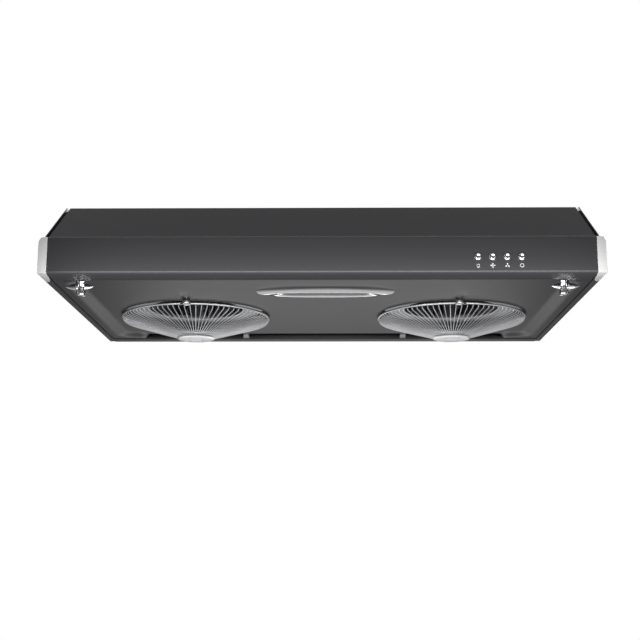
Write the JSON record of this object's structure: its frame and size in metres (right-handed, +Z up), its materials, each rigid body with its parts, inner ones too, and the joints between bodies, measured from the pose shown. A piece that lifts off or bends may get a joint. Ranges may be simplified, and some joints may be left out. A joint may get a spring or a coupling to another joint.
{
  "type": "under cabinet range hood",
  "caption": "Slim under-cabinet range hood: slanted front, drop-down bottom pan with lamp, conical wire guards, blowers and a round top outlet with a damper.",
  "frame": {"origin": "middle of the flat top face, which stands against the cabinet's underside", "axes": "+X to the user's right, +Y towards the wall, +Z up into the cabinet"},
  "size_m": [0.756, 0.5122, 0.186],
  "materials": {
    "dark_paint": "satin dark grey powder coat",
    "silver_plastic": "satin silver",
    "chrome_trim": "bright",
    "lamp_glass": "clear ribbed",
    "bulb_glass": "frosted",
    "guard_wire": "plated wire",
    "zinc_fitting": "plated",
    "black_rubber": "matte",
    "black_plastic": "matte",
    "motor_steel": "black enamel",
    "zinc_steel": "zinc plated",
    "galvanised_steel": "galvanised"
  },
  "bodies": {
    "body": {"back_panel": "dark_paint", "blower_hangers": "zinc_steel", "body_screws": "zinc_steel", "button_bezels": "chrome_trim", "cable_grommet": "black_rubber", "capacitor": "black_plastic", "damper_rod": "zinc_steel", "duct_collar": "galvanised_steel", "front_panel": "dark_paint", "hinge_brackets": "zinc_steel", "left_end_cap": "silver_plastic", "left_inlet_plate": "galvanised_steel", "left_motor": "motor_steel", "left_scroll_wall": "galvanised_steel", "left_side_plate": "dark_paint", "motor_plates": "galvanised_steel", "motor_screws": "zinc_steel", "outlet_plenum": "galvanised_steel", "right_end_cap": "silver_plastic", "right_inlet_plate": "galvanised_steel", "right_motor": "motor_steel", "right_scroll_wall": "galvanised_steel", "right_side_plate": "dark_paint", "switch_block": "black_plastic", "switch_bracket": "zinc_steel", "terminal_box": "black_plastic", "top_panel": "dark_paint"},
    "drop_pan_assembly": {"drop_pan": "dark_paint", "pan_hinge_leaves": "zinc_steel", "latch_clips": "zinc_steel", "lamp_bezel": "chrome_trim", "lamp_lens": "lamp_glass", "lamp_tray": "galvanised_steel", "lamp_bulbs": "bulb_glass", "lamp_sockets": "black_plastic", "guard_brackets": "zinc_steel"},
    "left_guard": {"left_guard_ring": "guard_wire", "left_guard_wires": "guard_wire", "left_guard_hub": "guard_wire"},
    "left_clip": {"left_guard_clip": "guard_wire"},
    "left_latch": {"left_wing_latch": "zinc_fitting"},
    "left_wheel": {"left_fan_wheel": "galvanised_steel", "left_fan_hub": "black_plastic", "left_motor_shaft": "zinc_steel", "left_wheel_nut": "black_plastic"},
    "left_flap": {"left_damper_flap": "galvanised_steel"},
    "right_guard": {"right_guard_ring": "guard_wire", "right_guard_wires": "guard_wire", "right_guard_hub": "guard_wire"},
    "right_clip": {"right_guard_clip": "guard_wire"},
    "right_latch": {"right_wing_latch": "zinc_fitting"},
    "right_wheel": {"right_fan_wheel": "galvanised_steel", "right_fan_hub": "black_plastic", "right_motor_shaft": "zinc_steel", "right_wheel_nut": "black_plastic"},
    "right_flap": {"right_damper_flap": "galvanised_steel"},
    "light_key": {"light_button": "silver_plastic"},
    "high_speed_key": {"high_speed_button": "silver_plastic"},
    "low_speed_key": {"low_speed_button": "silver_plastic"},
    "off_key": {"off_button": "silver_plastic"}
  },
  "joints": [
    {"name": "drop_pan_swing", "type": "hinge", "parent": "body", "child": "drop_pan_assembly", "pos_m": [0, 0.167, -0.1188], "axis": [1, 0, 0], "range_deg": [0, 75]},
    {"name": "left_guard_swing", "type": "hinge", "parent": "drop_pan_assembly", "child": "left_guard", "pos_m": [-0.204, 0.1317, -0.122], "axis": [1, 0, 0], "range_deg": [0, 60]},
    {"name": "left_clip_turn", "type": "hinge", "parent": "left_guard", "child": "left_clip", "pos_m": [-0.204, -0.1167, -0.122], "axis": [0, 0, 1], "range_deg": [-180, 180]},
    {"name": "left_latch_turn", "type": "hinge", "parent": "drop_pan_assembly", "child": "left_latch", "pos_m": [-0.3315, -0.251, -0.125], "axis": [0, 0, 1], "range_deg": [-90, 0]},
    {"name": "left_wheel_spin", "type": "hinge", "parent": "body", "child": "left_wheel", "pos_m": [-0.204, 0.009, -0.075], "axis": [0, 0, 1], "continuous": true},
    {"name": "left_flap_swing", "type": "hinge", "parent": "body", "child": "left_flap", "pos_m": [0, 0.109, 0.012], "axis": [0, 1, 0], "range_deg": [0, 75]},
    {"name": "right_guard_swing", "type": "hinge", "parent": "drop_pan_assembly", "child": "right_guard", "pos_m": [0.204, 0.1317, -0.122], "axis": [1, 0, 0], "range_deg": [0, 60]},
    {"name": "right_clip_turn", "type": "hinge", "parent": "right_guard", "child": "right_clip", "pos_m": [0.204, -0.1167, -0.122], "axis": [0, 0, 1], "range_deg": [-180, 180]},
    {"name": "right_latch_turn", "type": "hinge", "parent": "drop_pan_assembly", "child": "right_latch", "pos_m": [0.3315, -0.251, -0.125], "axis": [0, 0, 1], "range_deg": [0, 90]},
    {"name": "right_wheel_spin", "type": "hinge", "parent": "body", "child": "right_wheel", "pos_m": [0.204, 0.009, -0.075], "axis": [0, 0, 1], "continuous": true},
    {"name": "right_flap_swing", "type": "hinge", "parent": "body", "child": "right_flap", "pos_m": [0, 0.109, 0.012], "axis": [0, -1, 0], "range_deg": [0, 75]},
    {"name": "light_press", "type": "slide", "parent": "body", "child": "light_key", "axis": [0, 1, 0], "range_m": [0, 0.003], "stiffness_N_per_m": 400},
    {"name": "high_speed_press", "type": "slide", "parent": "body", "child": "high_speed_key", "axis": [0, 1, 0], "range_m": [0, 0.003], "stiffness_N_per_m": 400},
    {"name": "low_speed_press", "type": "slide", "parent": "body", "child": "low_speed_key", "axis": [0, 1, 0], "range_m": [0, 0.003], "stiffness_N_per_m": 400},
    {"name": "off_press", "type": "slide", "parent": "body", "child": "off_key", "axis": [0, 1, 0], "range_m": [0, 0.003], "stiffness_N_per_m": 400}
  ]
}
